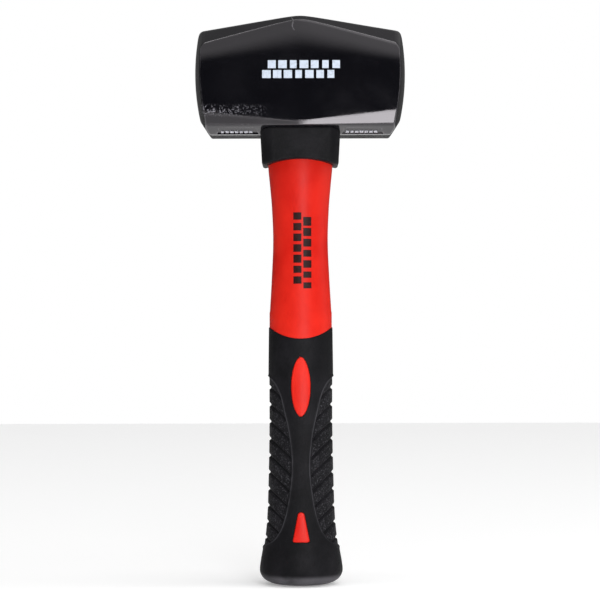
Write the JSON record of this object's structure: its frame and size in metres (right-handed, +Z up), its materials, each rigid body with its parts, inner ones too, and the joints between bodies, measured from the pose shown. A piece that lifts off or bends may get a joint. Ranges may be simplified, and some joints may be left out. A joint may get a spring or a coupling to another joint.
{
  "type": "lump hammer",
  "caption": "Lump hammer with a black lacquered double-faced steel head, red fibreglass-cored handle, rubber overstrike collar and black treaded grip",
  "frame": {"origin": "bottom centre of the bounding box: under the butt, on the axis of the handle", "axes": "+Z up the handle to the head, +X along the head towards one striking face, +Y through the cheeks; the hammer stands head up"},
  "size_m": [0.102, 0.05, 0.2748],
  "materials": {
    "lacquered_steel": "gloss",
    "fibreglass": "matte",
    "epoxy": "gloss",
    "red_jacket": "satin",
    "collar_rubber": "matte",
    "grip_rubber": "matte"
  },
  "bodies": {
    "root": {"head": "lacquered_steel", "fibreglass_core": "fibreglass", "eye_resin": "epoxy", "handle_jacket": "red_jacket", "overstrike_collar": "collar_rubber", "grip": "grip_rubber"}
  },
  "joints": []
}
